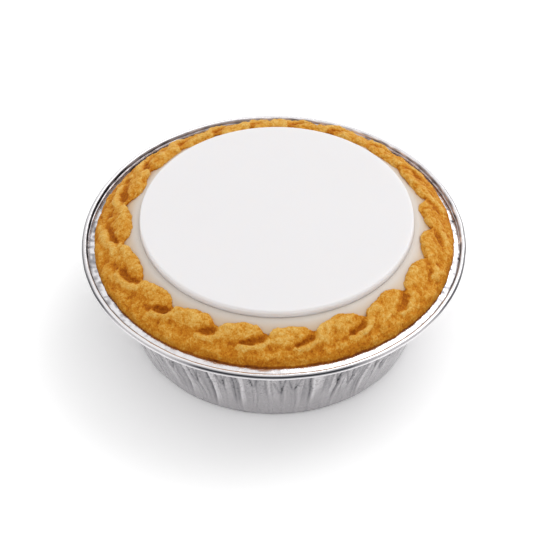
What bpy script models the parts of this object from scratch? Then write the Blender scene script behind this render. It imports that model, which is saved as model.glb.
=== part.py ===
"""Iced mince pie in its fluted foil tin.

Four pieces, each a closed solid: the foil tin, the pastry with its crimped rim, the bed of icing that fills the
rim, and the icing disc that lies on the bed. Units are metres and +Z is up. The origin is the centre of the tin's
underside, and the side at -Y is the front.
"""

import math

import bmesh
import bpy

MM = 0.001
GAP = 0.3 * MM  # between pieces that touch in the real pie

# Foil tin
TIN_HEIGHT = 22.4 * MM
RIM_RADIUS = 40.0 * MM
BASE_RADIUS = 29.4 * MM  # where the wall's slope meets the table
BASE_CORNER = 1.4 * MM
WALL_TOP_RADIUS = 36.4 * MM
FOIL = 0.35 * MM
BEAD_WIDTH = 1.3 * MM
BEAD_HEIGHT = 1.4 * MM
BEAD_STEP = 1.0 * MM  # the rolled bead's height over the flange
BEAD_STEPS = 8
CORNER_STEPS = 3
FLUTES = 72
FLUTE_DEPTH = 0.5 * MM
FLUTE_START = 0.3  # share of the flute depth that is left at the base

# Pastry
EDGE_RADIUS = 36.8 * MM  # outer edge, which lies on the tin's flange
EDGE_ROUNDING = 0.3 * MM
PASTRY_INSET = 0.7 * MM  # from the outside of the tin's wall to the pastry, inside the flutes
NOTCH_RADIUS = 31.9 * MM  # icing side of the rim, between two crimps
RECESS_SIDE_SHIFT = 0.6 * MM  # the icing lies a little to the right of the middle
SCALLOP = 1.6 * MM  # how far a crimp bulges in over the icing
SCALLOP_FULLNESS = 0.8  # under 1 makes the bulge rounder and the notches narrower
RECESS_FLOOR = 23.6 * MM
FIRST_CRIMP_DEG = 14.0
CRIMP_WIDTHS_DEG = (20, 17, 17, 16, 15, 15, 16, 18, 21, 22, 22, 18, 19, 18, 17, 19, 20, 18, 16, 16)
CRIMP_SAMPLES = (0.0, 0.04, 0.12, 0.26, 0.42, 0.58, 0.72, 0.85, 0.94)
CRIMP_UNEVENNESS = ((0.08, 2.4, 0.0), (0.05, 5.1, 1.0))  # waves in size: share, radians for each crimp, start
CRIMP_SKEW = 0.58  # share of a crimp by which its crease runs back on the way out
SKEW_START = 0.08  # share of the way across the rim where the crease starts to run back
SKEW_END = 0.56
CRIMP_RISE_IN = 0.5  # share of a crimp over which it rises beside the icing
CRIMP_RISE_OUT = 0.1  # the same further out, where the next crimp starts as a steep ridge
CRIMP_FALL = 0.4  # share of a crimp over which its round end drops into the crease
CRIMP_START = 0.55  # height of a crimp where it starts, as a share of its full height
CRIMP_TOP = 0.5  # share of a crimp by which it has reached its full height
RISE_OUT_FROM = 0.45  # share of the way across the rim from which a crimp rises as steeply as further out
# Across the rim from the icing to the outer edge: share of the way, height over the tin, depth of the creases
RIM_PROFILE = (
    (0.0, 3.9 * MM, 0.3 * MM),
    (0.05, 4.8 * MM, 1.2 * MM),
    (0.14, 5.4 * MM, 2.1 * MM),
    (0.25, 5.4 * MM, 2.7 * MM),
    (0.36, 5.0 * MM, 2.9 * MM),
    (0.47, 4.3 * MM, 2.5 * MM),
    (0.58, 3.7 * MM, 1.3 * MM),
    (0.7, 3.1 * MM, 0.5 * MM),
    (0.85, 1.9 * MM, 0.2 * MM),
    (1.0, 0.1 * MM, 0.0),
)

# Icing
BED_TOP = 27.1 * MM
BED_EDGE_DROP = 1.2 * MM  # how much lower the bed is where it meets the notches of the rim
BED_SHOULDER_RADIUS = 28.4 * MM
BED_LIP = 0.9 * MM  # how far the bed's edge ring lies inside the rim's foot
DISC_RADIUS = 28.3 * MM
DISC_TOP = 28.85 * MM
DISC_ROUNDING = 0.9 * MM
DISC_ROUNDING_STEPS = 3
DISC_SEGMENTS = 96

# Looks: linear colour, roughness, how metallic
TIN_LOOK = ((0.78, 0.77, 0.78), 0.32, 1.0)
PASTRY_LOOK = ((0.66, 0.33, 0.08), 0.65, 0.0)
BED_LOOK = ((0.78, 0.74, 0.68), 0.4, 0.0)
DISC_LOOK = ((0.87, 0.86, 0.86), 0.35, 0.0)
SHARP_EDGE_DEG = 35.0
DISC_SHARP_EDGE_DEG = 60.0

TURN = 2 * math.pi
TIN_COLUMNS = 2 * FLUTES
FLANGE_TOP = TIN_HEIGHT - BEAD_STEP
WALL_SLOPE = (WALL_TOP_RADIUS - BASE_RADIUS) / FLANGE_TOP
WALL_ANGLE = math.atan(WALL_SLOPE)  # from upright


def smooth(share):
    """0 to 1 with no kink at either end."""
    share = min(max(share, 0.0), 1.0)
    return share * share * (3 - 2 * share)


def material(name, look):
    colour, roughness, metallic = look
    made = bpy.data.materials.new(name)
    made.use_nodes = True
    shader = made.node_tree.nodes["Principled BSDF"]
    shader.inputs["Base Color"].default_value = (*colour, 1.0)
    shader.inputs["Roughness"].default_value = roughness
    shader.inputs["Metallic"].default_value = metallic
    return made


def add_object(name, bm, made_of, sharp_deg=SHARP_EDGE_DEG):
    """Turns a finished bmesh into a named, smooth-shaded object."""
    bmesh.ops.triangulate(bm, faces=bm.faces[:])
    bmesh.ops.recalc_face_normals(bm, faces=bm.faces[:])
    mesh = bpy.data.meshes.new(name)
    bm.to_mesh(mesh)
    bm.free()
    mesh.shade_smooth()
    mesh.set_sharp_from_angle(angle=math.radians(sharp_deg))
    mesh.materials.append(made_of)
    made = bpy.data.objects.new(name, mesh)
    bpy.context.scene.collection.objects.link(made)
    return made


def turned(outline, columns):
    """A bmesh turned round Z from an (r, z) outline that starts and ends on the axis."""
    bm = bmesh.new()
    points = [bm.verts.new((r, 0.0, z)) for r, z in outline]
    edges = [bm.edges.new(pair) for pair in zip(points, points[1:])]
    bmesh.ops.spin(
        bm, geom=points + edges, cent=(0, 0, 0), axis=(0, 0, 1), angle=TURN, steps=columns, use_merge=True
    )
    bmesh.ops.remove_doubles(bm, verts=bm.verts[:], dist=GAP / 100)
    return bm


def lofted(rings, low_z, high_z):
    """A closed bmesh through rings of equally many points, with a fan to the axis at each end."""
    bm = bmesh.new()
    loops = [[bm.verts.new(point) for point in ring] for ring in rings]
    ends = (bm.verts.new((0, 0, low_z)), bm.verts.new((0, 0, high_z)))
    columns = len(rings[0])
    for here in range(columns):
        there = (here + 1) % columns
        for inner, outer in zip(loops, loops[1:]):
            bm.faces.new((inner[here], inner[there], outer[there], outer[here]))
        for end, loop in zip(ends, (loops[0], loops[-1])):
            bm.faces.new((end, loop[here], loop[there]))
    return bm


def wall_radius(z):
    """Outside of the tin's wall at height z, on the ridge of a flute."""
    return BASE_RADIUS + WALL_SLOPE * z


def flute_share(z):
    """How deep the flutes are at height z, as a share of their full depth."""
    return FLUTE_START + (1 - FLUTE_START) * min(z / FLANGE_TOP, 1.0)


def arc(centre, size, from_angle, to_angle, steps):
    """Points (r, z) along a circle or an ellipse with these half sizes."""
    angles = [from_angle + (to_angle - from_angle) * step / steps for step in range(steps + 1)]
    return [(centre[0] + size[0] * math.cos(angle), centre[1] + size[1] * math.sin(angle)) for angle in angles]


def base_corner(radius, floor):
    """Rounded corner from the base at height floor up to the wall, for the outside or the inside of the foil."""
    turn = 0.5 * math.pi - WALL_ANGLE
    centre_z = floor + radius
    inset = radius / math.cos(WALL_ANGLE) + floor / math.cos(WALL_ANGLE)
    centre = (wall_radius(centre_z) - inset, centre_z)
    return arc(centre, (radius, radius), -0.5 * math.pi, turn - 0.5 * math.pi, CORNER_STEPS)


def bead():
    """The rolled bead, from the flange's underside round the outside to the flange's top."""
    half = (0.5 * BEAD_WIDTH, 0.5 * BEAD_HEIGHT)
    centre = (RIM_RADIUS - half[0], TIN_HEIGHT - half[1])
    flange_top = math.asin((centre[1] - FLANGE_TOP) / half[1])
    flange_under = math.asin((centre[1] - FLANGE_TOP + FOIL) / half[1])
    return arc(centre, half, math.pi + flange_under, 3 * math.pi + flange_top, BEAD_STEPS)


def tin_outline():
    """Half the tin's section, from the axis under the base round the bead to the axis above the base."""
    under = FLANGE_TOP - FOIL
    outside = [(0.0, 0.0), *base_corner(BASE_CORNER, 0.0), (wall_radius(under), under)]
    inside = [(WALL_TOP_RADIUS - FOIL, FLANGE_TOP), *reversed(base_corner(BASE_CORNER - FOIL, FOIL)), (0.0, FOIL)]
    return outside + bead() + inside


def make_tin():
    """The turned tin, with its wall pulled in between the ridges of the flutes."""
    bm = turned(tin_outline(), TIN_COLUMNS)
    for vertex in bm.verts:
        x, y, z = vertex.co
        radius = math.hypot(x, y)
        if radius > WALL_TOP_RADIUS or z < 0.5 * BASE_CORNER:
            continue
        groove = 0.5 - 0.5 * math.cos(FLUTES * math.atan2(y, x))
        pull = 1 - FLUTE_DEPTH * flute_share(z) * groove / radius
        vertex.co = (x * pull, y * pull, z)
    return add_object("foil_tin", bm, material("tin_foil", TIN_LOOK))


def crimp_angle(position):
    """Angle in radians of a place along the rim that is counted in crimps."""
    crimps = len(CRIMP_WIDTHS_DEG)
    index = math.floor(position)
    turns, index_here = divmod(index, crimps)
    start = sum(CRIMP_WIDTHS_DEG[:index_here])
    width = CRIMP_WIDTHS_DEG[index_here] * (position - index)
    return math.radians(FIRST_CRIMP_DEG + turns * 360 + start + width)


def crimp_size(index):
    """Uneven size of one crimp, about 1."""
    return 1 + sum(share * math.sin(step * index + start) for share, step, start in CRIMP_UNEVENNESS)


def round_over(share):
    """0 to 1 along a quarter circle that starts upright and ends level."""
    share = min(max(share, 0.0), 1.0)
    return math.sqrt(1 - (1 - share) ** 2)


def crimp_arch(share, across):
    """Height of a crimp along its length, 0 in the creases and 1 on top."""
    rise = CRIMP_RISE_IN + (CRIMP_RISE_OUT - CRIMP_RISE_IN) * smooth(across / RISE_OUT_FROM)
    start = CRIMP_START + (1 - CRIMP_START) * smooth(share / CRIMP_TOP)
    return start * round_over(share / rise) * round_over((1 - share) / CRIMP_FALL)


def rim_columns():
    """(crimp number, share along the crimp) of each column of the rim's mesh."""
    return [(index, share) for index in range(len(CRIMP_WIDTHS_DEG)) for share in CRIMP_SAMPLES]


def foot_radius(index, share):
    """Scalloped line where the rim meets the icing."""
    bulge = math.sin(math.pi * share) ** SCALLOP_FULLNESS
    shift = RECESS_SIDE_SHIFT * math.cos(crimp_angle(index + share))
    return NOTCH_RADIUS + shift - SCALLOP * crimp_size(index) * bulge


def polar(radius, angle, z):
    return (radius * math.cos(angle), radius * math.sin(angle), z)


def rim_ring(across, height, crease):
    """One ring of the crimped rim, a given share of the way from the icing to the outer edge."""
    ring = []
    skew = CRIMP_SKEW * smooth((across - SKEW_START) / (SKEW_END - SKEW_START))
    for index, share in rim_columns():
        foot = foot_radius(index, share)
        radius = foot + (EDGE_RADIUS - foot) * across
        lift = height + crease * (crimp_size(index) * crimp_arch(share, across) - 1)
        ring.append(polar(radius, crimp_angle(index + share - skew), TIN_HEIGHT + lift))
    return ring


def plain_ring(radius, z):
    """A round level ring with the rim's columns."""
    return [polar(radius, crimp_angle(index + share - CRIMP_SKEW), z) for index, share in rim_columns()]


def foot_ring(height, inset=0.0):
    """A ring along the scalloped foot of the rim, less an inset. Its height is a function of the radius."""
    ring = []
    for index, share in rim_columns():
        radius = foot_radius(index, share) - inset
        ring.append(polar(radius, crimp_angle(index + share), height(radius)))
    return ring


def bed_height(radius):
    """The bed is level under the disc and falls away towards the rim."""
    fall = smooth((radius - BED_SHOULDER_RADIUS) / (NOTCH_RADIUS - BED_SHOULDER_RADIUS))
    return BED_TOP - BED_EDGE_DROP * fall


def make_pastry():
    floor = FOIL + GAP
    corner_top = floor + BASE_CORNER
    wall_low = wall_radius(corner_top) - FLUTE_DEPTH * flute_share(corner_top) - PASTRY_INSET
    lip = FLANGE_TOP + GAP
    rings = [
        plain_ring(wall_low - BASE_CORNER, floor),
        plain_ring(wall_low, corner_top),
        plain_ring(wall_radius(lip) - FLUTE_DEPTH - PASTRY_INSET, lip),
        plain_ring(EDGE_RADIUS - EDGE_ROUNDING, lip),
        plain_ring(EDGE_RADIUS, lip + EDGE_ROUNDING),
    ]
    rings += [rim_ring(*row) for row in reversed(RIM_PROFILE)]
    rings.append(foot_ring(lambda radius: RECESS_FLOOR))
    bm = lofted(rings, floor, RECESS_FLOOR)
    return add_object("pastry_case", bm, material("baked_pastry", PASTRY_LOOK))


def make_icing_bed():
    low = RECESS_FLOOR + GAP
    rings = [
        foot_ring(lambda radius: low, GAP),
        foot_ring(bed_height, GAP),
        foot_ring(bed_height, BED_LIP),
        plain_ring(BED_SHOULDER_RADIUS, BED_TOP),
    ]
    bm = lofted(rings, low, BED_TOP)
    return add_object("icing_bed", bm, material("white_icing_bed", BED_LOOK))


def make_icing_disc():
    low = BED_TOP + GAP
    bm = bmesh.new()
    bmesh.ops.create_cone(
        bm,
        cap_ends=True,
        segments=DISC_SEGMENTS,
        radius1=DISC_RADIUS,
        radius2=DISC_RADIUS,
        depth=DISC_TOP - low,
    )
    top_edges = [edge for edge in bm.edges if all(vertex.co.z > 0 for vertex in edge.verts)]
    bmesh.ops.bevel(
        bm,
        geom=top_edges,
        offset=DISC_ROUNDING,
        segments=DISC_ROUNDING_STEPS,
        profile=0.5,
        affect="EDGES",
        clamp_overlap=True,
    )
    disc = add_object("icing_disc", bm, material("white_icing_disc", DISC_LOOK), DISC_SHARP_EDGE_DEG)
    disc.location = (RECESS_SIDE_SHIFT, 0.0, 0.5 * (low + DISC_TOP))
    return disc


def clear_scene():
    for old in list(bpy.data.objects):
        bpy.data.objects.remove(old)


def main():
    clear_scene()
    make_tin()
    make_pastry()
    make_icing_bed()
    make_icing_disc()


main()
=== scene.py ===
"""Looks of an iced mince pie in its fluted foil tin.

Each of the four solids is replaced by a finer mesh of the same form, with a procedural material.
Units are metres, +Z is up, and the side at -Y faces the camera.
"""

import math

import bmesh
import bpy
import numpy as np
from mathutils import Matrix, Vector, noise


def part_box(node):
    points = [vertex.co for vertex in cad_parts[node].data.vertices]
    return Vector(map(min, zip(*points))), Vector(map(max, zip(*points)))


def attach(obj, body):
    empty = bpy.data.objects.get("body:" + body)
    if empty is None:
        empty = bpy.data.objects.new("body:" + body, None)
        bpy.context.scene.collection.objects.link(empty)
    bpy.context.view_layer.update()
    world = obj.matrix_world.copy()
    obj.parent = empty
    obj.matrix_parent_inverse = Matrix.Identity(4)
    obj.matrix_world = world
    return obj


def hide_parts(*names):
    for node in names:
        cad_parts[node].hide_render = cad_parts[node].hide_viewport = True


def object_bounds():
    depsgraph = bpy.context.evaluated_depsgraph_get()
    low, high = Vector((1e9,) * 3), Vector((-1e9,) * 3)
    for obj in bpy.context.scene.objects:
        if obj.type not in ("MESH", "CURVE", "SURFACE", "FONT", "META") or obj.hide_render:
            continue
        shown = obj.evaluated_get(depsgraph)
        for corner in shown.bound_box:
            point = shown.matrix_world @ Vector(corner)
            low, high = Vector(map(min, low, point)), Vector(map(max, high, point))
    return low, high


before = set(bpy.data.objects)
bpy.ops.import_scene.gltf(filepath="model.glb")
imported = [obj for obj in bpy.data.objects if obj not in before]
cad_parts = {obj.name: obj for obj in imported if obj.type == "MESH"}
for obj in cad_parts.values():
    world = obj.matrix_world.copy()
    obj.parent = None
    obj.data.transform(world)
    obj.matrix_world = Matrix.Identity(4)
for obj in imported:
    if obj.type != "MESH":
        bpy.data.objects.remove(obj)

MM = 0.001
TURN = 2 * math.pi
BODY = "root"
cad_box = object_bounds()

# A pair of values given to rise() is where a change starts and where it ends.
# Colours are red, green and blue from 0 to 255, as a screen shows them.

# Camera, floor and lights
CAMERA_DISTANCE = 490.6 * MM
CAMERA_TILT_DEG = 43.7  # how far it looks down
CAMERA_AIM = (-0.8 * MM, 0.0, 13.15 * MM)
CAMERA_LENS_MM = 155.5
CAMERA_SENSOR_MM = 36.0
CAMERA_NEAREST = 10.0 * MM
FLOOR_SIZE = 4.0
FLOOR_WHITE = 1.17
WORLD_STRENGTH = 0.91
# Brightness of the room by the sine of the height above the floor
ROOM_BY_HEIGHT = ((0.0, 0.1), (0.05, 0.3), (0.12, 1.0))
KEY_PLACE = (0.47, 0.44, 0.75)
KEY_AIM = (0.0, 0.0, 20.0 * MM)
KEY_SIZE = 0.8
KEY_POWER = 2.75

# Foil tin
RIM_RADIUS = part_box("foil_tin")[1][0]
TIN_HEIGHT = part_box("foil_tin")[1][2]
BASE_RADIUS = 29.4 * MM
BASE_CORNER = 1.4 * MM
WALL_FOOT = 0.28 * MM  # height above which the wall is creased
WALL_TOP_RADIUS = 36.4 * MM
WALL_FLARE = 0.9 * MM  # how far the wall bellies out under the flange
FLARE_HEIGHTS = (4.0 * MM, 18.0 * MM)
FOIL = 0.35 * MM
BEAD_WIDTH = 1.3 * MM
BEAD_HEIGHT = 1.35 * MM
BEAD_STEP = 1.0 * MM  # from the flange up to the bead's top
FLANGE_TOP = TIN_HEIGHT - BEAD_STEP
WALL_SLOPE = (WALL_TOP_RADIUS - BASE_RADIUS) / FLANGE_TOP
FLANGE_DROP = 0.3 * MM  # the flange slopes down towards the bead
FLANGE_CREST = (36.6 * MM, 21.52 * MM)
LOWEST_SINE = 0.99  # of the angle at which the flange can meet the bead, below the bead's middle
# Rows of points on each stretch of the tin's section
UNDERSIDE_SHARES = (0.4, 0.8, 0.95)
CORNER_ROWS = 6
WALL_ROWS = 50
BEAD_ROWS = 22
FLANGE_ROWS = (5, 2)  # outside its crest and inside it
INNER_WALL_ROWS = 4
INNER_CORNER_ROWS = 3
INNER_BASE_SHARE = 0.5

# Creases of the tin's wall. Places and widths across a flute are shares of it.
FLUTES = 72
COLUMNS_PER_FLUTE = 14
FLUTE_DEPTH = 0.5 * MM
TIN_SEED = 7
# What differs from flute to flute, with the lowest and the highest value
FLUTE_SPANS = {
    "depth": (0.25, 1.1),
    "lean": (-0.35, 0.35),
    "width": (0.09, 0.21),
    "start": (0.0, 0.35),  # share of the height at which its crease begins to deepen
    "tilt": (-1.2, 1.2),
    "fork": (7.5, 12.5),  # height of the fork in mm
    "spread": (0.04, 0.1),  # of the fork's arms for each mm above it
    "fork_place": (-0.15, 0.15),
}
FORK_ODDS = (0.35, 0.65)  # of a single crease and of a forked one
FORK_WIDTH = 0.12
FORK_RISE_MM = 1.5
SECOND_PLACE = (0.22, 0.4)  # of a fainter crease, to either side
SECOND_STRENGTH = (0.0, 0.9)
SECOND_WIDTH = 0.12
# Painted highlight beside each crease
GLINT_PLACE = 0.24  # of the bright line beside a crease
GLINT_WIDTH = 0.16
FLUTE_WAVE = 0.045
FLUTE_WAVE_RISE = 2.2 * MM
FLUTE_POWER = 1.1
FLUTE_GROWTH = 0.3  # share of the height over which a crease deepens
FLUTE_FOOT = 0.15  # share of its depth that a crease has at its foot
# Depths against a full crease
FORK_DEPTH = 0.55
SECOND_DEPTH = 0.5
PANEL_DEPTH = 0.2
PANEL_FOOT = 0.3

# Crumples and broad waves of the tin's wall
CRUMPLE_SIZES = (1.1 * MM, 1.1 * MM, 1.2 * MM)
CRUMPLE_DEPTH = 0.24 * MM
CRUMPLE_LEAST = 0.05 * MM
CRUMPLE_MIDDLE = 14.0 * MM
CRUMPLE_REACH = 4.0 * MM
# A crumple's line is drawn as painted shade
CRUMPLE_LINE = 0.1  # half width of a crumple's line, as a share of the noise's height
WALL_WAVE_SIZES = (4.62 * MM, 4.62 * MM, 4.08 * MM)
WALL_WAVE_DEPTH = 0.16 * MM

# Tone of the wall and the base, from 0, bright, to 1, dark, all painted shade and light. The whole wall is
# darker, a painted reflection of the shaded floor, and darker again towards its top, painted shade under the
# flange.
WALL_TONE = 0.36
TOP_TONE = 0.1
TOP_HEIGHTS = (15.0 * MM, 19.0 * MM)
# Painted shade and painted light across each panel, by the way the panel tilts
TILT_TONE = 0.45
# Painted shade in the creases, in their forks and in the fainter second creases
FLUTE_TONE = 0.62
FORK_TONE = 0.45
SECOND_TONE = 0.5
GLINT_TONE = 0.3
FINE_TONE_FOOT = 0.2
DARKEST_WALL = 0.85
# Painted shade at the foot of the wall, next to the floor
FOOT_TONE = 0.6
FOOT_HEIGHTS = (0.4 * MM, 1.2 * MM)
# Painted shade along the lines of the crumples
CRUMPLE_TONE_PER_MM = 1.1
# Painted shade on the underside of the base
UNDERSIDE_TONE = 0.85
UNDERSIDE_RADII = (0.7 * BASE_RADIUS, 0.9 * BASE_RADIUS)

# Flange and bead. Places round the rim are those on a circle with a radius of 1.
# The seam is a shallow groove with a painted dark line along it, painted shade and reflected dark
BEAD_SEAM_DEG = (29.0, 8.0)  # where the foil's edge lies, up from the bead's outermost line: front, sides
BEAD_SEAM_REACH_DEG = (28.0, 54.0)
BEAD_SEAM_DEPTH = 0.05 * MM
SEAM_POWER = 4
SEAM_SIDES_START = (-0.6, -0.1)  # of y
SEAM_SIDES_END = (0.25, 0.6)
SEAM_NARROWING_DEG = 8.0
SEAM_NARROWING = (0.4, 0.7)  # of x, to either side
SEAM_FADE = 0.7
SEAM_FADE_START = (0.35, 0.55)
SEAM_FADE_END = (0.74, 0.88)
SEAM_FADE_FRONT = (0.0, 0.2)  # of -y
PINCH_DEG = -0.5  # where the bead and the flange are pinched
PINCH_STRENGTH = 0.9
# Layers of noise: scale, climb for each mm of radius, strength
RIM_WAVES = ((3.0, 0.0, 1.0), (11.0, 0.0, 0.5))
RIM_KINKS = ((13.0, 3.0, 0.7), (30.0, 8.0, 0.4))
RIM_SAG_WAVES = ((5.0, 1.0, 1.0),)
FLANGE_GRAIN = ((38.0, 1.1, 1.0),)
RIM_SAG_START = 9.0
RIM_WAVE_DEPTH = 0.09 * MM
RIM_KINK_DEPTH = 0.05 * MM
RIM_SAG = 0.05 * MM
# Tones of the bead's inner side, a painted reflection of the dark crust and shade nearby, and where it begins
# and is in full round the bead's section
INNER_SIDE_DEG = (104.0, 130.0)
BEAD_TONE = 0.3
BEAD_SIDE_TONE = 0.75
# Painted shade in the kinks of the bead's inner side, more at the right of the back
BEAD_KINK_TONE = 0.7
BEAD_BACK_KINK_TONE = 0.6
RIGHT_BACK = Vector((0.7, 0.7, 0.0))
RIGHT_BACK_REACH = (0.4, 0.8)
# Tones of the flange: its streaks beside the bead, painted shade and reflected dark, its grain and its specks
FRONT_REACH = (0.5, 0.9)  # of -y
BACK_LEFT = Vector((-0.5, 0.87, 0.0))
BACK_LEFT_REACH = (0.6, 0.9)
BACK_STREAK_RADII = (37.5 * MM, 38.2 * MM)
STREAK_RADII = (38.25 * MM, 38.6 * MM)
STREAK_FADE = 0.6
STREAK_FADE_REACH = (0.6, 1.0)  # of x + y
STREAK_TONE = 0.6
STREAK_KINK_TONE = 1.1
FLANGE_TONE = 0.02
GRAIN_TONE = 0.1
SPECK_TONE = 1.3
SPECK_LEAST = 0.05

# Foil's finish. A noise is its scale for each metre, its detail and its roughness.
FOIL_DENTS = (900.0, 2.0)
FOIL_DENT_HEIGHT = 0.06 * MM
FOIL_DENT_STRENGTH = 0.7
FOIL_GRAIN = (4200.0, 2.0)
# Colour of the foil by its painted shade, from bright foil to the darkest painted shade
FOIL_TONES = (
    (0.0, (244, 242, 244)),
    (0.12, (222, 219, 221)),
    (0.3, (196, 193, 195)),
    (0.75, (148, 146, 150)),
    (1.0, (34, 38, 42)),
)
FOIL_ROUGHNESS = 0.12
GRAIN_ROUGHNESS = 0.14
FOLD_ROUGHNESS = 0.2
SCUFF_ROUGHNESS = 0.4

# Pastry's rim
PASTRY_SEED = 11
FIRST_CRIMP_DEG = 14.0
CRIMP_WIDTHS_DEG = (20, 17, 17, 16, 15, 15, 16, 18, 21, 22, 22, 18, 19, 18, 17, 19, 20, 18, 16, 16)
EDGE_RADIUS = 37.2 * MM
NOTCH_RADIUS = 31.9 * MM
RECESS_SIDE_SHIFT = 0.6 * MM
RECESS_SHIFT_REACH_MM = (0.0, 4.0)  # in from the edge
RECESS_FLOOR = 23.6 * MM
CASE_BASE = 0.65 * MM
CASE_INSET = 1.3 * MM  # from the outside of the tin's wall
CASE_OVER_FLANGE = 0.3 * MM
RIM_COLUMNS = 1200
RIM_STEPS = 6
BULGE_SKEW = 1.25
BULGE_FULLNESS = 0.7
BULGE_SPREAD = (-0.16, 0.16)
BACK_EVENNESS = 0.5  # how much shallower the notches are at the back
BACK_REACH = (0.3, 0.7)  # sines round the rim
LIFT_SPREAD = (-0.22, 0.16)
LIFT_HEIGHTS_MM = (23.5, 26.0)
# The rim is wider than a circle at the sides and narrower at the front and the back
SIDE_WIDENING_MM = 0.7
WIDENING_LOSS_MM = 0.2
WIDENING_RADII_MM = (33.0, 35.5)
# From the flange over the rim to the icing, in mm.
# Each row is radius and height between two crimps, then in the middle of one.
RIM_ROWS = (
    (36.1, 21.35, 36.1, 21.35),
    (36.6, 21.3, 36.6, 21.3),
    (36.8, 21.6, 36.8, 21.6),
    (36.75, 22.2, 36.75, 22.2),
    (36.4, 23.0, 36.4, 23.0),
    (35.8, 23.75, 35.8, 23.75),
    (34.9, 24.4, 34.9, 24.5),
    (34.0, 25.0, 33.9, 25.3),
    (33.3, 25.6, 32.9, 26.2),
    (32.8, 26.1, 31.9, 26.9),
    (32.4, 26.3, 30.9, 27.25),
    (32.15, 26.0, 30.1, 27.0),
    (32.05, 25.4, 29.8, 26.4),
    (32.1, 24.6, 30.1, 25.4),
)

# Pastry's crimps. Places across the rim are radius less height, in mm.
# The crease between two crimps curves back on its way out.
CREASE_IN = 5.8
CREASE_OUT = 9.5
CREASE_RUN = 0.52  # share of a crimp
CREASE_BEND = 1.5
CREASE_SIDE = 0.75  # share of a crimp on which the crease at its end is the nearest one
CREASE_SAMPLES = 14
CRIMP_LENGTH = 10.0
RUN_SPREAD = (0.75, 1.2)
REACH_SPREAD = (0.88, 1.1)
DENT_SPREAD = (0.6, 1.15)
# Height across one crimp from its raised start to its low end: share of the crimp, share of the height
FOLD_PROFILE = (
    (0.0, 0.0),
    (0.05, 0.8),
    (0.12, 1.0),
    (0.4, 0.6),
    (0.7, 0.1),
    (0.88, -0.7),
    (0.95, -0.8),
    (1.0, 0.0),
)
FOLD_HEIGHT = 0.45
FOLD_START = (3.0, 5.0)
FOLD_END = (CREASE_OUT, CREASE_OUT + 1.5)
# The dent at the end of each crimp: distance from the crease in mm, positive outside it, share of the depth
DENT_PROFILE = (
    (-2.4, 0.0),
    (-1.5, 0.15),
    (-0.8, 0.45),
    (-0.35, 0.95),
    (-0.1, 1.0),
    (0.15, 0.7),
    (0.5, 0.0),
)
DENT_DEPTH = 0.8
# Shares of the crease on which its dent begins and ends, and the dent's depth where it begins
DENT_START = (0.08, 0.38)
DENT_END = (0.84, 1.0)
DENT_FIRST_DEPTH = 0.65
# The brow is the low ridge that lies along the outer side of a crease
BROW_HEIGHT = 0.65
BROW_PLACE = 1.2
BROW_WIDTH = 0.75
RELIEF_STRIDES = (1, 1, 1)
RIGHT_SOFTNESS = 0.45  # how much shallower the crimps are at the right
RIGHT_REACH = (0.45, 0.85)  # cosines round the rim

# Pastry's surface
CRUMB_SIZES = ((3.4, 0.42), (1.4, 0.28), (0.55, 0.17))  # mm across, mm high
CRACK_SIZE = 2.1
CRACK_DEPTH = 0.12
CRACK_WIDTH = 0.14  # share of the noise's height
SMOOTH_EDGE = 0.55  # how much lower the crumbs are near the flange
SMOOTH_EDGE_REACH = (12.5, 14.5)
# How dark the pastry is: its hollows darker, painted shade with some browning; its ridges paler, a painted
# highlight; and darker on its outer slope and most at its edge by the foil
LEVEL_STRIDES = (1, 2, 3, 4, 3, 2, 1)
HOLLOW_SHADE_AND_BROWNING = 0.75
RIDGE_HIGHLIGHT = 0.22
RELIEF_TONE_LIMITS = (-0.22, 0.25)
# Darker on the outer slope, and most at the edge by the foil
SLOPE_DARKENING = 0.1
SLOPE_REACH = (11.8, 13.0)
EDGE_DARKENING = 0.3
EDGE_REACH = (14.7, 15.1)

# Pastry's finish. The tones run from the brownest to the palest.
CRUST_TONES = (
    (0.0, (120, 58, 8)),
    (0.25, (163, 88, 12)),
    (0.45, (193, 115, 18)),
    (0.6, (208, 138, 36)),
    (0.78, (223, 167, 74)),
    (1.0, (235, 197, 115)),
)
CRUST_PATCHES = (260.0, 4.0)
CRUST_GRAINS = (1500.0, 4.0, 0.65)
CRUST_SPECKS = (3600.0, 2.0, 0.6)
CRUST_BROAD = (50.0, 2.0)
CRUST_CRUMBS = 2600.0
GRAINS_SHARE = 0.65
PATCHES_SHARE = 0.35
SPECKS_SHARE = 0.65
BROAD_SHARE = 0.2
CRUST_BROWNNESS = 0.335
CRUST_ROUGHNESS = 0.7
CRUST_SHINE = 0.12
GRAIN_HEIGHT = 0.4 * MM
GRAIN_STRENGTH = 0.8
CRUMB_HEIGHT = 0.12 * MM
CRUMB_STRENGTH = 0.5

# Icing
ICING_COLUMNS = 256
BED_TOP = 27.1 * MM
BED_EDGE_DROP = 1.2 * MM
BED_SHOULDER_RADIUS = 28.4 * MM
BED_WARM_RADIUS = 29.0 * MM
BED_UNDERSIDE = 24.6 * MM
BED_INNERMOST = 4.0 * MM
BED_ROWS = 44
BED_COLOUR = (215, 205, 195)
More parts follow.
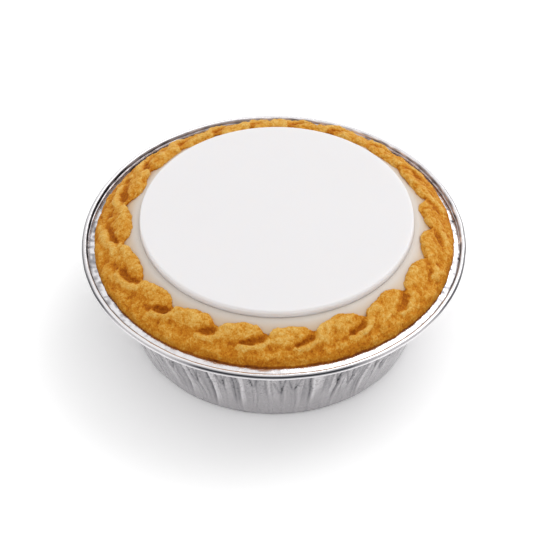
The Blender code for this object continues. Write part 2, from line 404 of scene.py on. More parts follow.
# Painted shade and painted warm bounce light from the crust, at the bed's edge next to the pastry
BED_SHADED_EDGE_COLOUR = (206, 178, 142)
BED_ROUGHNESS = 0.38
DISC_RADIUS = 28.3 * MM
DISC_TOP = cad_box[1][2]
DISC_GAP = 0.02 * MM
DISC_ROUNDING = 0.45 * MM
DISC_LEAN = 0.08 * MM
DISC_INNERMOST = 3.0 * MM
DISC_SIDE_ROWS = 4
DISC_ROUNDING_ROWS = 8
DISC_TOP_ROWS = 30
DISC_COLOUR = (232, 230, 231)
DISC_ROUGHNESS = 0.42
ICING_CLOUDS = (90.0, 3.0)
ICING_CLOUD_TONE = 0.985
ICING_GRAIN = (700.0, 3.0)
ICING_GRAIN_HEIGHT = 0.05 * MM
ICING_GRAIN_STRENGTH = 0.15
ICING_SCATTER = 0.5
ICING_SCATTER_COLOURS = (1.0, 0.9, 0.8)
ICING_SCATTER_DEPTH = 1.5 * MM


def rise(value, start, end):
    """0 up to start and 1 from end on, with no kink at either. Takes a number or an array."""
    share = np.clip((value - start) / (end - start), 0.0, 1.0)
    return share * share * (3 - 2 * share)


def at_least(least, share):
    """A share from 0 to 1 that is raised to run from least to 1."""
    return least + (1 - least) * share


def tent(distance, width):
    """1 in the middle, falling evenly to 0 at a width to either side."""
    return np.maximum(0, 1 - np.abs(distance) / width)


def srgb(colour):
    """A screen colour as the linear values that a shader takes."""
    shares = [value / 255 for value in colour]
    return tuple(s / 12.92 if s <= 0.04045 else ((s + 0.055) / 1.055) ** 2.4 for s in shares)


def arc(centre, size, from_angle, to_angle, steps):
    """Points (r, z) along a circle or an ellipse with these half sizes."""
    turns = [from_angle + (to_angle - from_angle) * step / steps for step in range(steps + 1)]
    return [(centre[0] + size[0] * math.cos(turn), centre[1] + size[1] * math.sin(turn)) for turn in turns]


def line(start, end, steps):
    """Points (r, z) after start, up to and with end."""
    shares = [step / steps for step in range(1, steps + 1)]
    return [(start[0] + (end[0] - start[0]) * s, start[1] + (end[1] - start[1]) * s) for s in shares]


def round_angles(columns):
    return np.arange(columns) * TURN / columns


def ring(radius, height, angles, side_shift=0.0):
    """Points of one turn round the pie. Radius and height are numbers, or arrays with one for each column."""
    x = radius * np.cos(angles) + side_shift
    y = radius * np.sin(angles)
    return np.stack([x, y, height * np.ones(len(angles))], axis=1)


def ring_mesh(name, rings, closed_low, closed_high):
    """A mesh through rings of points, each an array of (columns, 3), with a fan to a point at either end."""
    rows, columns = len(rings), len(rings[0])
    points = np.vstack([*rings, [closed_low], [closed_high]])
    sides = [(here, (here + 1) % columns) for here in range(columns)]
    faces = []
    for low in range(0, (rows - 1) * columns, columns):
        high = low + columns
        faces += [(low + here, low + there, high + there, high + here) for here, there in sides]
    last = (rows - 1) * columns
    low_tip = rows * columns
    high_tip = low_tip + 1
    faces += [(low_tip, there, here) for here, there in sides]
    faces += [(high_tip, last + here, last + there) for here, there in sides]
    mesh = bpy.data.meshes.new(name)
    mesh.from_pydata(points.tolist(), [], faces)
    mesh.validate()
    bm = bmesh.new()
    bm.from_mesh(mesh)
    bmesh.ops.recalc_face_normals(bm, faces=bm.faces[:])
    bm.to_mesh(mesh)
    bm.free()
    mesh.shade_smooth()
    return mesh


def store(mesh, name, start, values):
    """Keeps values on a mesh's points from number start on, for its material to read."""
    everywhere = np.zeros(len(mesh.vertices))
    everywhere[start : start + len(values)] = values
    layer = mesh.attributes.new(name, "FLOAT", "POINT")
    layer.data.foreach_set("value", everywhere)


def add_piece(name, mesh, made_of, node):
    """Puts a mesh in the scene in place of one of the solids."""
    piece = bpy.data.objects.new(name, mesh)
    bpy.context.scene.collection.objects.link(piece)
    mesh.materials.append(made_of)
    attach(piece, BODY)
    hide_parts(node)
    return piece


def fill_ramp(node, stops):
    """Gives a colour ramp its stops, each a place and a linear colour."""
    points = node.color_ramp.elements
    while len(points) < len(stops):
        points.new(0.5)
    for point, (place, colour) in zip(points, stops):
        point.position = place
        point.color = (*colour, 1.0)


class Nodes:
    """Builds a material's node tree around its Principled shader."""

    def __init__(self, name):
        self.material = bpy.data.materials.new(name)
        self.material.use_nodes = True
        self.tree = self.material.node_tree
        self.shader = self.tree.nodes["Principled BSDF"]

    def add(self, kind, **values):
        node = self.tree.nodes.new(kind)
        for key, value in values.items():
            if key in node.inputs:
                node.inputs[key].default_value = value
            else:
                setattr(node, key, value)
        return node

    def link(self, start, end):
        self.tree.links.new(start, end)

    def set(self, **values):
        """Sets the shader's own sockets. A name has _ where the socket's has a space."""
        for key, value in values.items():
            self.shader.inputs[key.replace("_", " ")].default_value = value

    def position(self):
        return self.add("ShaderNodeTexCoord").outputs["Object"]

    def attribute(self, name):
        return self.add("ShaderNodeAttribute", attribute_name=name).outputs["Fac"]

    def noise(self, where, scale, detail, roughness=0.55):
        texture = self.add("ShaderNodeTexNoise", Scale=scale, Detail=detail, Roughness=roughness)
        self.link(where, texture.inputs["Vector"])
        return texture.outputs["Fac"]

    def ramp(self, factor, stops):
        """A colour ramp from stops, each a place and a screen colour."""
        node = self.add("ShaderNodeValToRGB")
        fill_ramp(node, [(place, srgb(colour)) for place, colour in stops])
        self.link(factor, node.inputs["Fac"])
        return node.outputs["Color"]

    def maths(self, operation, first, second):
        node = self.add("ShaderNodeMath", operation=operation)
        for socket, value in zip(node.inputs, (first, second)):
            if isinstance(value, (int, float)):
                socket.default_value = value
            else:
                self.link(value, socket)
        return node.outputs[0]

    def total(self, start, *parts):
        """A starting value plus each part times its share."""
        for value, share in parts:
            start = self.maths("ADD", start, self.maths("MULTIPLY", value, share))
        return start

    def mix(self, factor, first, second):
        """A blend of two linear colours. Either may be a fixed one or a socket."""
        node = self.add("ShaderNodeMix", data_type="RGBA")
        self.link(factor, node.inputs[0])
        for index, value in ((6, first), (7, second)):
            if isinstance(value, tuple):
                node.inputs[index].default_value = (*value, 1.0)
            else:
                self.link(value, node.inputs[index])
        return node.outputs[2]

    def bump(self, height, distance, strength, below=None):
        node = self.add("ShaderNodeBump", Strength=strength, Distance=distance)
        self.link(height, node.inputs["Height"])
        if below:
            self.link(below, node.inputs["Normal"])
        return node.outputs["Normal"]


def foil_material():
    """Crinkled foil. An attribute darkens it with painted shade, painted reflections of dark surroundings and
    faint specks, and the scuffed one dulls its shine.
    """
    made = Nodes("foil")
    where = made.position()
    fold_and_shade = made.attribute("fold_and_shade")
    grain = made.noise(where, *FOIL_GRAIN)
    dull = made.total(
        FOIL_ROUGHNESS,
        (grain, GRAIN_ROUGHNESS),
        (fold_and_shade, FOLD_ROUGHNESS),
        (made.attribute("scuffed"), SCUFF_ROUGHNESS),
    )
    normal = made.bump(made.noise(where, *FOIL_DENTS), FOIL_DENT_HEIGHT, FOIL_DENT_STRENGTH)
    made.set(Metallic=1.0)
    made.link(made.ramp(fold_and_shade, FOIL_TONES), made.shader.inputs["Base Color"])
    made.link(dull, made.shader.inputs["Roughness"])
    made.link(normal, made.shader.inputs["Normal"])
    return made.material


def pastry_material():
    """Baked shortcrust. An attribute darkens it with painted shade and browning in its hollows, pales it with
    a painted highlight on its ridges, and darkens its outer slope and edge.
    """
    made = Nodes("baked_pastry")
    where = made.position()
    grains = made.noise(where, *CRUST_GRAINS)
    crumbs = made.add("ShaderNodeTexVoronoi", Scale=CRUST_CRUMBS)
    made.link(where, crumbs.inputs["Vector"])
    paleness = made.total(
        -CRUST_BROWNNESS,
        (grains, GRAINS_SHARE),
        (made.noise(where, *CRUST_PATCHES), PATCHES_SHARE),
        (made.noise(where, *CRUST_SPECKS), SPECKS_SHARE),
        (made.noise(where, *CRUST_BROAD), BROAD_SHARE),
        (made.attribute("shade_and_browning"), -1.0),
    )
    coarse = made.bump(grains, GRAIN_HEIGHT, GRAIN_STRENGTH)
    normal = made.bump(crumbs.outputs["Distance"], CRUMB_HEIGHT, CRUMB_STRENGTH, coarse)
    made.set(Roughness=CRUST_ROUGHNESS, Specular_IOR_Level=CRUST_SHINE)
    made.link(made.ramp(paleness, CRUST_TONES), made.shader.inputs["Base Color"])
    made.link(normal, made.shader.inputs["Normal"])
    return made.material


def icing_material(name, colour, roughness, edge_colour=None):
    """Sugarpaste or soft icing. The edge attribute blends in the colour that it has next to the pastry,
    painted shade and painted bounce light from the crust.
    """
    made = Nodes(name)
    where = made.position()
    plain = srgb(colour)
    darker = tuple(ICING_CLOUD_TONE * value for value in plain)
    tone = made.mix(made.noise(where, *ICING_CLOUDS), darker, plain)
    if edge_colour:
        tone = made.mix(made.attribute("edge"), tone, srgb(edge_colour))
    normal = made.bump(made.noise(where, *ICING_GRAIN), ICING_GRAIN_HEIGHT, ICING_GRAIN_STRENGTH)
    made.set(Roughness=roughness, Subsurface_Weight=ICING_SCATTER)
    made.set(Subsurface_Radius=ICING_SCATTER_COLOURS, Subsurface_Scale=ICING_SCATTER_DEPTH)
    made.link(tone, made.shader.inputs["Base Color"])
    made.link(normal, made.shader.inputs["Normal"])
    return made.material


def wall_radius(z):
    """Outside of the tin's wall at height z, on the ridge of a flute and without the flare."""
    return BASE_RADIUS + WALL_SLOPE * z


def corner(radius, floor, steps):
    """Points (r, z) round the foot of the tin's wall, above a flat floor."""
    lean = math.atan(WALL_SLOPE)
    centre_z = floor + radius
    centre = (wall_radius(centre_z) - (radius + floor) / math.cos(lean), centre_z)
    return arc(centre, (radius, radius), -0.25 * TURN, -lean, steps)


def bead_and_flange():
    """Points (r, z) from under the bead round it, and in along the flange to the wall's top."""
    half = (0.5 * BEAD_WIDTH, 0.5 * BEAD_HEIGHT)
    centre = (RIM_RADIUS - half[0], TIN_HEIGHT - half[1])

    def meets(z):
        """Angle below the bead's middle at which it is met at height z."""
        return math.asin(min((centre[1] - z) / half[1], LOWEST_SINE))

    flange_low = FLANGE_TOP - FLANGE_DROP
    start = 0.5 * TURN + meets(flange_low - FOIL)
    end = 1.5 * TURN + meets(flange_low)
    bead = arc(centre, half, start, end, BEAD_ROWS)
    outer_rows, inner_rows = FLANGE_ROWS
    flange = line(bead[-1], FLANGE_CREST, outer_rows)
    flange += line(FLANGE_CREST, (WALL_TOP_RADIUS - FOIL, FLANGE_TOP), inner_rows)
    return bead + flange


def tin_outline():
    """Rows (r, z) of the tin's section, from the underside round the bead to the inside of the base."""
    under = FLANGE_TOP - FOIL
    foot = corner(BASE_CORNER, 0.0, CORNER_ROWS)
    flat = [(foot[0][0] * share, 0.0) for share in UNDERSIDE_SHARES]
    wall = line(foot[-1], (wall_radius(under), under), WALL_ROWS)
    wall = [(r + WALL_FLARE * rise(z, *FLARE_HEIGHTS), z) for r, z in wall]
    inside = corner(BASE_CORNER - FOIL, FOIL, INNER_CORNER_ROWS)
    inside += line(inside[-1], (WALL_TOP_RADIUS - FOIL, FLANGE_TOP), INNER_WALL_ROWS)[:-1]
    inside.insert(0, (inside[0][0] * INNER_BASE_SHARE, FOIL))
    return flat + foot + wall + bead_and_flange() + inside[::-1]


def draw_flutes():
    """What differs from flute to flute: an array for each name, with a value for each flute."""
    rng = np.random.default_rng(TIN_SEED)
    flutes = {name: rng.uniform(*span, FLUTES) for name, span in FLUTE_SPANS.items()}
    flutes["forked"] = rng.choice((0.0, 1.0), FLUTES, p=FORK_ODDS)
    flutes["phase"] = rng.uniform(0, TURN, FLUTES)
    flutes["second_place"] = rng.choice((-1.0, 1.0), FLUTES) * rng.uniform(*SECOND_PLACE, FLUTES)
    flutes["second"] = rng.uniform(*SECOND_STRENGTH, FLUTES)
    return flutes


def flute_pull(angles, z, flutes):
    """How far the wall is pulled in at height z, in metres, and its tone there, painted shade and highlights,
    for each column.
    """
    place = angles * FLUTES / TURN
    here = np.floor(place).astype(int) % FLUTES
    own = {name: values[here] for name, values in flutes.items()}
    up = z / FLANGE_TOP
    across = place - np.floor(place) - 0.5 - own["lean"] * (up - 0.5)
    across -= FLUTE_WAVE * np.sin(z / FLUTE_WAVE_RISE + own["phase"])
    grown = rise(up - own["start"], 0.0, FLUTE_GROWTH)
    fold_and_shade = own["depth"] * tent(across, own["width"]) ** FLUTE_POWER * at_least(FLUTE_FOOT, grown)
    second = tent(across - own["second_place"], SECOND_WIDTH) * own["second"]
    glint = tent(across - GLINT_PLACE, GLINT_WIDTH) * own["depth"]
    panel = (2 * across) ** 2 + own["tilt"] * across
    past_fork = z / MM - own["fork"]
    spread = own["spread"] * np.maximum(0, past_fork)
    fork = tent(np.abs(across - own["fork_place"]) - spread, FORK_WIDTH)
    fork *= rise(past_fork, 0.0, FORK_RISE_MM) * own["forked"]
    pull = fold_and_shade + FORK_DEPTH * fork + SECOND_DEPTH * second * grown
    pull += PANEL_DEPTH * panel * at_least(PANEL_FOOT, grown)
    # Painted shade: darker all over as a painted reflection of the shaded floor, painted shade and light by
    # each panel's tilt, and painted shade under the flange
    tone = WALL_TONE + TILT_TONE * own["tilt"] * across * grown + TOP_TONE * rise(z, *TOP_HEIGHTS)
    # Painted shade in the creases, their forks and the fainter second creases, less a painted highlight
    # beside each crease
    tone += FLUTE_TONE * fold_and_shade + FORK_TONE * fork
    tone += (SECOND_TONE * second - GLINT_TONE * glint) * at_least(FINE_TONE_FOOT, grown)
    # Painted shade at the foot of the wall
    foot = FOOT_TONE * (1 - rise(z, *FOOT_HEIGHTS))
    return FLUTE_DEPTH * pull, at_least(foot, np.clip(tone, 0, DARKEST_WALL))


def wall_ring(r, z, angles, flutes):
    """Radius and tone, mostly painted shade, of each column of the wall at height z."""
    pull, tone = flute_pull(angles, z, flutes)
    radius = r - pull
    nearness = math.exp(-(((z - CRUMPLE_MIDDLE) / CRUMPLE_REACH) ** 2))
    crumple = CRUMPLE_DEPTH * nearness + CRUMPLE_LEAST
    for column, angle in enumerate(angles):
        point = (r * math.cos(angle), r * math.sin(angle), z)
        wave = noise.noise([value / size for value, size in zip(point, WALL_WAVE_SIZES)])
        crinkle = abs(noise.noise([value / size for value, size in zip(point, CRUMPLE_SIZES)]))
        radius[column] -= WALL_WAVE_DEPTH * wave + crumple * crinkle
        # Painted shade along each crumple's line
        tone[column] += CRUMPLE_TONE_PER_MM * crumple / MM * max(0.0, 1 - crinkle / CRUMPLE_LINE)
    return radius, tone


def bead_angle(r, z):
    """Angle in degrees round the bead's section, from 0 at its outermost line to 90 at its top."""
    half_width = 0.5 * BEAD_WIDTH
    half_height = 0.5 * BEAD_HEIGHT
    along = (r - RIM_RADIUS + half_width) / half_width
    up = (z - TIN_HEIGHT + half_height) / half_height
    return math.degrees(math.atan2(up, along))


def layered(layers, spot, climb):
    """Sum of layers of noise at a spot on the rim."""
    total = 0.0
    for scale, climb_scale, strength in layers:
        total += strength * noise.noise(spot * scale + Vector((0, 0, climb_scale * climb)))
    return total


def rim_kink(angle, spot, r):
    """How kinked the rim is at a spot. It is below 0 where the rim is pinched."""
    from_pinch = (math.degrees(angle) + 180) % 360 - 180 - PINCH_DEG
    return layered(RIM_KINKS, spot, r / MM) - PINCH_STRENGTH * math.exp(-(from_pinch**2))


def bead_seam_and_shade(turn, spot):
    """How deep in the seam of the rolled foil a point lies, 0 to 1. It makes a shallow groove and a painted
    dark line there, painted shade and reflected dark. The turn is its angle round the bead.
    """
    aside = abs(spot.x)
    sideways = rise(spot.y, *SEAM_SIDES_START) * (1 - rise(spot.y, *SEAM_SIDES_END))
    middle, reach = (
        front + (side - front) * sideways for front, side in (BEAD_SEAM_DEG, BEAD_SEAM_REACH_DEG)
    )
    reach -= SEAM_NARROWING_DEG * rise(aside, *SEAM_NARROWING) * (1 - sideways)
    diagonal = rise(aside, *SEAM_FADE_START) * (1 - rise(aside, *SEAM_FADE_END))
    diagonal *= rise(-spot.y, *SEAM_FADE_FRONT)
    return (1 - SEAM_FADE * diagonal) * math.exp(-(((turn - middle) / reach) ** SEAM_POWER))


def bead_tone(spot, seam_and_shade, inner, kink):
    """Tone of the bead: a painted dark line along its seam, and painted reflected shade on its inner side,
    which is darker at the sides and most uneven at the right of the back.
    """
    right_back = rise(RIGHT_BACK.dot(spot), *RIGHT_BACK_REACH)
    dark = BEAD_TONE + BEAD_SIDE_TONE * abs(spot.x) * (1 - right_back)
    dark += (BEAD_KINK_TONE + BEAD_BACK_KINK_TONE * right_back) * kink
    return max(0.0, min(1.0, seam_and_shade + inner * dark))


def flange_tone(spot, r, kink):
    """Tone of the flange: faint specks, and a painted dark streak of shade and reflected dark beside the bead
    at the sides and the back.
    """
    beyond_front = 1 - rise(-spot.y, *FRONT_REACH)
    streak = beyond_front * rise(r, *STREAK_RADII)
    streak *= 1 - STREAK_FADE * rise(spot.x + spot.y, *STREAK_FADE_REACH)
    back_streak = rise(BACK_LEFT.dot(spot), *BACK_LEFT_REACH) * rise(r, *BACK_STREAK_RADII)
    streak = max(back_streak, streak)
    grain = layered(FLANGE_GRAIN, spot, r / MM)
    speckle = FLANGE_TONE + GRAIN_TONE * grain + beyond_front * SPECK_TONE * max(0.0, grain - SPECK_LEAST)
    return max(speckle, streak * (STREAK_TONE + STREAK_KINK_TONE * kink), 0.0)


def rim_ring(r, z, angles):
    """Radius, height, tone and scuffing of each column of a row on the flange or the bead. The tone is
    painted shade and reflected dark, with faint specks on the flange.
    """
    on_bead = r > RIM_RADIUS - BEAD_WIDTH
    turn = bead_angle(r, z)
    inner = rise(turn, *INNER_SIDE_DEG) if on_bead else 0.0
    radius = np.full(len(angles), r)
    height = np.full(len(angles), z)
    tone = np.zeros(len(angles))
    for column, angle in enumerate(angles):
        spot = Vector((math.cos(angle), math.sin(angle), 0.0))
        seam_and_shade = bead_seam_and_shade(turn, spot) if on_bead else 0.0
        kink = rim_kink(angle, spot, r)
        radius[column] -= RIM_WAVE_DEPTH * (1 + layered(RIM_WAVES, spot, 0.0))
        radius[column] -= BEAD_SEAM_DEPTH * seam_and_shade + RIM_KINK_DEPTH * max(0, kink)
        height[column] -= RIM_SAG * (1 + layered(RIM_SAG_WAVES, spot, RIM_SAG_START))
        height[column] -= RIM_KINK_DEPTH * abs(kink)
        tone[column] = bead_tone(spot, seam_and_shade, inner, kink) if on_bead else flange_tone(spot, r, kink)
    return radius, height, tone, np.full(len(angles), inner)


def tin_ring(r, z, angles, flutes):
    """Radius, height, tone and scuffing of each column of a row of the tin. The tone is mostly painted shade
    and painted reflections.
    """
    none = np.zeros(len(angles))
    if WALL_FOOT < z < FLANGE_TOP - 0.5 * FOIL and r < WALL_TOP_RADIUS + WALL_FLARE:
        radius, tone = wall_ring(r, z, angles, flutes)
        return radius, z, tone, none
    if z < 0.5 * FOIL:
        # Painted shade on the underside of the base
        return r, z, none + UNDERSIDE_TONE * rise(r, *UNDERSIDE_RADII), none
    if z > FLANGE_TOP - FOIL - BEAD_HEIGHT and r > WALL_TOP_RADIUS - FOIL:
        return rim_ring(r, z, angles)
    return r, z, none, none


def make_tin():
    flutes = draw_flutes()
    angles = round_angles(FLUTES * COLUMNS_PER_FLUTE)
    rings = []
    tones = []
    scuffs = []
    for r, z in tin_outline():
        radius, height, tone, scuffed = tin_ring(r, z, angles, flutes)
        rings.append(ring(radius, height, angles))
        tones.append(tone)
        scuffs.append(scuffed)
    mesh = ring_mesh("foil_tin_look", rings, (0, 0, 0), (0, 0, FOIL))
    # The tone attribute holds painted shade and painted reflections of dark surroundings, and faint specks
    store(mesh, "fold_and_shade", 0, np.concatenate(tones))
    store(mesh, "scuffed", 0, np.concatenate(scuffs))
    return add_piece("tin", mesh, foil_material(), "foil_tin")


def crimp_places(angles):
    """Where each angle lies along the rim, counted in crimps."""
    starts = np.radians(np.concatenate([[0], np.cumsum(CRIMP_WIDTHS_DEG)]))
    turned = (angles - math.radians(FIRST_CRIMP_DEG)) % TURN
    return np.interp(turned, starts, np.arange(len(starts)))


def per_crimp(values, places):
    """Values that are given one for each crimp, blended round the rim from middle to middle."""
    count = len(values)
    middles = np.arange(-1, count + 1) + 0.5
    return np.interp(places, middles, values[np.arange(-1, count + 1) % count])


def spline(rows, steps):
    """Smooth path through rows of values, with a number of steps between each two."""
    padded = np.concatenate([[2 * rows[0] - rows[1]], rows, [2 * rows[-1] - rows[-2]]])
    out = []
    for before, start, end, after in zip(padded, padded[1:], padded[2:], padded[3:]):
        for t in np.arange(steps) / steps:
            straight = 2 * start + (end - before) * t
            curved = (2 * before - 5 * start + 4 * end - after) * t**2
            out.append(0.5 * (straight + curved + (3 * start - before - 3 * end + after) * t**3))
    out.append(rows[-1])
    return np.array(out)


def rim_section(angles, places, rng):
    """Radius and height, in mm, of each row and column of the rim before its crimps are pressed in."""
    crimps = len(CRIMP_WIDTHS_DEG)
    share = places - np.floor(places)
    bulge = np.sin(math.pi * share**BULGE_SKEW) ** BULGE_FULLNESS
    bulge = 1 - (1 - bulge) * (1 - BACK_EVENNESS * rise(np.sin(angles), *BACK_REACH))
    bulge = bulge * (1 + per_crimp(rng.uniform(*BULGE_SPREAD, crimps), places))
    rows = np.array(RIM_ROWS)
    notch, middle = rows[:, None, :2], rows[:, None, 2:]
    section = notch + (middle - notch) * bulge[None, :, None]
    lift = per_crimp(rng.uniform(*LIFT_SPREAD, crimps), places)
    section[:, :, 1] += lift * rise(section[:, :, 1], *LIFT_HEIGHTS_MM)
    return spline(section, RIM_STEPS)


def crease_distance(places, out, run, reach):
    """Distance in mm from the crease, positive on its outer side, and the share of the crease passed."""
    x = (places - np.floor(places + CREASE_SIDE)) * CRIMP_LENGTH
    nearest = np.full(out.shape, np.inf)
    beside = np.zeros(out.shape)
    passed = np.zeros(out.shape)
    for share in np.linspace(0, 1, CREASE_SAMPLES):
        across = x + run * CRIMP_LENGTH * share**CREASE_BEND
        beyond = out - CREASE_IN - reach * (1 - (1 - share) ** 2)
        distance = np.hypot(across, beyond)
        along = run * CRIMP_LENGTH * CREASE_BEND * share ** (CREASE_BEND - 1)
        side = np.sign(across * reach * 2 * (1 - share) + beyond * along)
        closer = distance < nearest
        beside = np.where(closer, side * distance, beside)
        passed = np.where(closer, share, passed)
        nearest = np.minimum(distance, nearest)
    return beside, passed


def crimp_relief(places, out, rng):
    """How far each point of the rim stands proud, in mm. The values out grow from the icing to the flange."""
    crimps = len(CRIMP_WIDTHS_DEG)
    crimp = np.floor(places + CREASE_SIDE).astype(int) % crimps
    run = CREASE_RUN * rng.uniform(*RUN_SPREAD, crimps)[crimp]
    reach = (CREASE_OUT - CREASE_IN) * rng.uniform(*REACH_SPREAD, crimps)[crimp]
    depth = DENT_DEPTH * rng.uniform(*DENT_SPREAD, crimps)[crimp]
    share = 1 - np.sqrt(1 - np.clip((out - CREASE_IN) / reach, 0, 1))
    after = (places + run * share**CREASE_BEND) % 1.0
    fold_and_shade = np.interp(after, *zip(*FOLD_PROFILE)) * rise(out, *FOLD_START) * (1 - rise(out, *FOLD_END))
    beside, passed = crease_distance(places, out, run, reach)
    length = rise(passed, *DENT_START) * (1 - rise(passed, *DENT_END))
    length *= at_least(DENT_FIRST_DEPTH, passed)
    dent = np.interp(beside, *zip(*DENT_PROFILE))
    brow = np.exp(-(((beside - BROW_PLACE) / BROW_WIDTH) ** 2))
    return FOLD_HEIGHT * fold_and_shade + length * (BROW_HEIGHT * brow - depth * dent)


def blurred(field, strides):
    """A field over rows and columns, averaged with its four neighbours. Columns run on round the rim."""
    rows = np.arange(len(field))
    for stride in strides:
        low = field[np.maximum(rows - stride, 0)]
        high = field[np.minimum(rows + stride, rows[-1])]
        sides = np.roll(field, stride, axis=1) + np.roll(field, -stride, axis=1)
        field = (field + low + high + sides) / 5
    return field


def grid_normals(points):
    """Outward unit normals of a grid of points whose rows run in over the rim."""
    round_rim = np.roll(points, -1, axis=1) - np.roll(points, 1, axis=1)
    over_rim = np.gradient(points, axis=0)
    normals = np.cross(round_rim, over_rim)
    return normals / np.linalg.norm(normals, axis=2, keepdims=True)


def crumb(points):
    """Height in mm of the pastry's lumps, cracks and crumbs at each point."""
    out = np.zeros(points.shape[:2])
    for row, row_points in enumerate(points):
        for column, point in enumerate(row_points):
            spot = Vector(point) / MM
            out[row, column] = sum(height * noise.noise(spot / size) for size, height in CRUMB_SIZES)
            out[row, column] -= CRACK_DEPTH * max(0.0, 1 - abs(noise.noise(spot / CRACK_SIZE)) / CRACK_WIDTH)
    return out


def rim_points(angles, rng):
    """Points of the rim's rows, the relief of its crimps, and each point's place across the rim, in mm."""
    places = crimp_places(angles)
    section = rim_section(angles, places, rng)
    radius, height = section[:, :, 0], section[:, :, 1]
    out = radius - height
    softer = 1 - RIGHT_SOFTNESS * rise(np.cos(angles), *RIGHT_REACH)
    relief = blurred(crimp_relief(places[None, :], out, rng) * softer, RELIEF_STRIDES)
    shift = RECESS_SIDE_SHIFT / MM * np.cos(angles)
    shift = shift * rise(EDGE_RADIUS / MM - radius, *RECESS_SHIFT_REACH_MM)
    widening = SIDE_WIDENING_MM * np.cos(angles) ** 2 - WIDENING_LOSS_MM
    radius = radius + widening * rise(radius, *WIDENING_RADII_MM) + shift
    points = np.stack([radius * np.cos(angles), radius * np.sin(angles), height], axis=2) * MM
    points += grid_normals(points) * relief[:, :, None] * MM
    rough = crumb(points) * (1 - SMOOTH_EDGE * rise(out, *SMOOTH_EDGE_REACH))
    points += grid_normals(points) * (rough * MM)[:, :, None]
    return points, relief, out


def crust_shade_and_browning(points, relief, out):
    """How dark each point of the rim is: painted shade with some browning in hollows, a painted highlight on
    ridges, and darker outwards to the edge. Hollows lie under the rim's evened surface.
    """
    level = np.stack([blurred(points[:, :, axis], LEVEL_STRIDES) for axis in range(3)], axis=2)
    hollow = np.einsum("ijk,ijk->ij", level - points, grid_normals(level)) / MM
    # Painted shade with some browning in the hollows, and a painted highlight on the ridges
    shade_and_brown = np.clip(HOLLOW_SHADE_AND_BROWNING * hollow - RIDGE_HIGHLIGHT * relief, *RELIEF_TONE_LIMITS)
    return shade_and_brown + SLOPE_DARKENING * rise(out, *SLOPE_REACH) + EDGE_DARKENING * rise(out, *EDGE_REACH)


def make_pastry():
    angles = round_angles(RIM_COLUMNS)
    points, relief, out = rim_points(angles, np.random.default_rng(PASTRY_SEED))
    inside = wall_radius(CASE_BASE) - CASE_INSET
    below = [
        (inside - BASE_CORNER, CASE_BASE),
        (inside, CASE_BASE + BASE_CORNER),
        (WALL_TOP_RADIUS - CASE_INSET, FLANGE_TOP + CASE_OVER_FLANGE),
    ]
    recess_foot = points[-1].copy()
    recess_foot[:, 2] = RECESS_FLOOR
    rings = [ring(r, z, angles) for r, z in below] + list(points) + [recess_foot]
    mesh = ring_mesh("pastry_look", rings, (0, 0, CASE_BASE), (0, 0, RECESS_FLOOR))
    store(mesh, "shade_and_browning", len(below) * RIM_COLUMNS, crust_shade_and_browning(points, relief, out).ravel())
    return add_piece("pastry", mesh, pastry_material(), "pastry_case")


def make_bed():
    """The bed of icing, level in the middle. Its edge falls away and is darker and warmer next to the pastry,
    painted shade and painted bounce light from the crust.
    """
    angles = round_angles(ICING_COLUMNS)
    radii = np.linspace(BED_INNERMOST, NOTCH_RADIUS, BED_ROWS)
    heights = BED_TOP - BED_EDGE_DROP * rise(radii, BED_SHOULDER_RADIUS, NOTCH_RADIUS)
    edge_shade = rise(radii, BED_WARM_RADIUS, NOTCH_RADIUS)
    rings = [ring(radius, height, angles, RECESS_SIDE_SHIFT) for radius, height in zip(radii, heights)]
    rings.append(ring(NOTCH_RADIUS, BED_UNDERSIDE, angles, RECESS_SIDE_SHIFT))
    top = (RECESS_SIDE_SHIFT, 0, BED_TOP)
    bottom = (RECESS_SIDE_SHIFT, 0, BED_UNDERSIDE)
    mesh = ring_mesh("icing_bed_look", rings, top, bottom)
    store(mesh, "edge", 0, np.repeat(edge_shade, ICING_COLUMNS))
    made_of = icing_material("icing_bed", BED_COLOUR, BED_ROUGHNESS, BED_SHADED_EDGE_COLOUR)
    return add_piece("bed", mesh, made_of, "icing_bed")


def make_disc():
    """The disc of sugarpaste, with a side that leans in a little and a rounded upper edge."""
    angles = round_angles(ICING_COLUMNS)
    low = BED_TOP + DISC_GAP
    side_radius = DISC_RADIUS - DISC_LEAN
    side_top = DISC_TOP - DISC_ROUNDING
    rounding = (DISC_ROUNDING, DISC_ROUNDING)
    outline = [(DISC_RADIUS, low)]
    outline += line(outline[-1], (side_radius, side_top), DISC_SIDE_ROWS)
    outline += arc((side_radius - DISC_ROUNDING, side_top), rounding, 0.0, 0.25 * TURN, DISC_ROUNDING_ROWS)
    outline += line(outline[-1], (DISC_INNERMOST, DISC_TOP), DISC_TOP_ROWS)
    rings = [ring(r, z, angles, RECESS_SIDE_SHIFT) for r, z in outline]
    bottom = (RECESS_SIDE_SHIFT, 0, low)
    top = (RECESS_SIDE_SHIFT, 0, DISC_TOP)
    mesh = ring_mesh("icing_disc_look", rings, bottom, top)
    made_of = icing_material("icing_disc", DISC_COLOUR, DISC_ROUGHNESS)
    return add_piece("disc", mesh, made_of, "icing_disc")


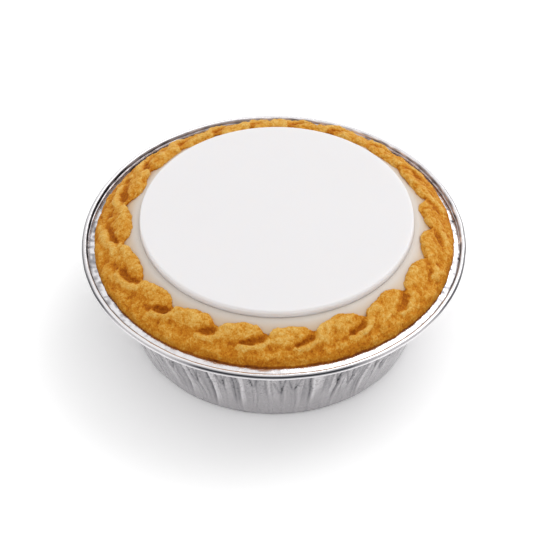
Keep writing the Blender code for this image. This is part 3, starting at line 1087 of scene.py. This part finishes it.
def make_floor():
    bm = bmesh.new()
    bmesh.ops.create_grid(bm, x_segments=1, y_segments=1, size=0.5 * FLOOR_SIZE)
    mesh = bpy.data.meshes.new("floor")
    bm.to_mesh(mesh)
    bm.free()
    floor = bpy.data.objects.new("floor", mesh)
    bpy.context.scene.collection.objects.link(floor)
    made = Nodes("floor")
    diffuse = made.add("ShaderNodeBsdfDiffuse", Color=(FLOOR_WHITE, FLOOR_WHITE, FLOOR_WHITE, 1.0))
    made.link(diffuse.outputs["BSDF"], made.tree.nodes["Material Output"].inputs["Surface"])
    mesh.materials.append(made.material)


def add_area(name, place, aim, size, power):
    """A square soft light that faces a point."""
    data = bpy.data.lights.new(name, "AREA")
    data.size = size
    data.energy = power
    light = bpy.data.objects.new(name, data)
    light.location = place
    light.rotation_euler = (Vector(aim) - Vector(place)).to_track_quat("-Z", "Y").to_euler()
    bpy.context.scene.collection.objects.link(light)


def light_studio():
    """A pale room that is dark near the floor, and one large soft light behind the pie at the right."""
    world = bpy.data.worlds.new("studio")
    world.use_nodes = True
    tree = world.node_tree
    sky = tree.nodes["Background"]
    sky.inputs["Strength"].default_value = WORLD_STRENGTH
    direction = tree.nodes.new("ShaderNodeTexCoord").outputs["Generated"]
    parts = tree.nodes.new("ShaderNodeSeparateXYZ")
    ramp = tree.nodes.new("ShaderNodeValToRGB")
    fill_ramp(ramp, [(place, (grey, grey, grey)) for place, grey in ROOM_BY_HEIGHT])
    tree.links.new(direction, parts.inputs[0])
    tree.links.new(parts.outputs["Z"], ramp.inputs["Fac"])
    tree.links.new(ramp.outputs["Color"], sky.inputs["Color"])
    bpy.context.scene.world = world
    add_area("key", KEY_PLACE, KEY_AIM, KEY_SIZE, KEY_POWER)
    bpy.context.scene.view_settings.view_transform = "Standard"


def add_camera():
    tilt = math.radians(CAMERA_TILT_DEG)
    data = bpy.data.cameras.new("camera")
    data.sensor_width = CAMERA_SENSOR_MM
    data.lens = CAMERA_LENS_MM
    data.clip_start = CAMERA_NEAREST
    camera = bpy.data.objects.new("camera", data)
    look = Vector((0.0, math.cos(tilt), -math.sin(tilt)))
    camera.location = Vector(CAMERA_AIM) - look * CAMERA_DISTANCE
    camera.rotation_euler = look.to_track_quat("-Z", "Y").to_euler()
    bpy.context.scene.collection.objects.link(camera)
    bpy.context.scene.camera = camera


make_tin()
make_pastry()
make_bed()
make_disc()
make_floor()
light_studio()
add_camera()
